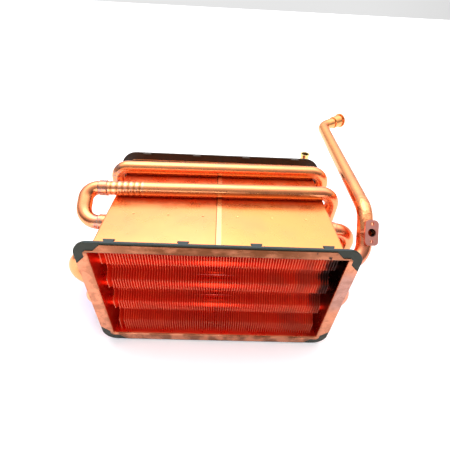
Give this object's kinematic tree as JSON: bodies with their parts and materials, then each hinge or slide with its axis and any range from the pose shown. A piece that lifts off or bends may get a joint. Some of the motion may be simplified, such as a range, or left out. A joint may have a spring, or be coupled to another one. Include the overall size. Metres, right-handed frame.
{
  "type": "water heater heat exchanger",
  "caption": "Copper gas water heater heat exchanger: a finned tube core in a sheet casing, with a cooling coil round it and steel end frames.",
  "frame": {"origin": "centre of the flue opening, in the sealing face of the casing's flue lips", "axes": "+X along the long side towards the side with both water connections, +Y along the gas path reversed, from the flue end to the burner end, +Z across the short side towards the side the front tube row's outlet rises to"},
  "size_m": [0.4146, 0.3671, 0.2054],
  "materials": {
    "copper_sheet": "bright rolled copper sheet, heat stained at the flue lips",
    "copper_tube": "bright drawn copper tube",
    "copper_fin": "bright thin copper",
    "frame_steel": "satin grey protective coating",
    "brass": "turned",
    "braze_metal": "dull solidified braze",
    "turbulator_steel": "plain strip"
  },
  "bodies": {
    "root": {"casing_left_half": "copper_sheet", "casing_right_half": "copper_sheet", "flue_frame": "frame_steel", "burner_frame": "frame_steel", "fin_pack": "copper_fin", "core_tube_front_1": "copper_tube", "core_tube_front_2": "copper_tube", "core_tube_front_3": "copper_tube", "core_tube_rear_1": "copper_tube", "core_tube_rear_2": "copper_tube", "core_tube_rear_3": "copper_tube", "core_tube_rear_4": "copper_tube", "return_bend_left_front": "copper_tube", "return_bend_left_lower": "copper_tube", "return_bend_left_rear": "copper_tube", "return_bend_right_front": "copper_tube", "return_bend_right_rear_upper": "copper_tube", "return_bend_right_rear_lower": "copper_tube", "crossover_bend": "copper_tube", "cooling_coil": "copper_tube", "outlet_pipe": "copper_tube", "outlet_tail": "copper_tube", "inlet_pipe": "copper_tube", "sensor_flange": "copper_tube", "sensor_boss": "brass", "inlet_tail": "brass", "braze_rings": "braze_metal", "turbulators": "turbulator_steel"}
  },
  "joints": []
}
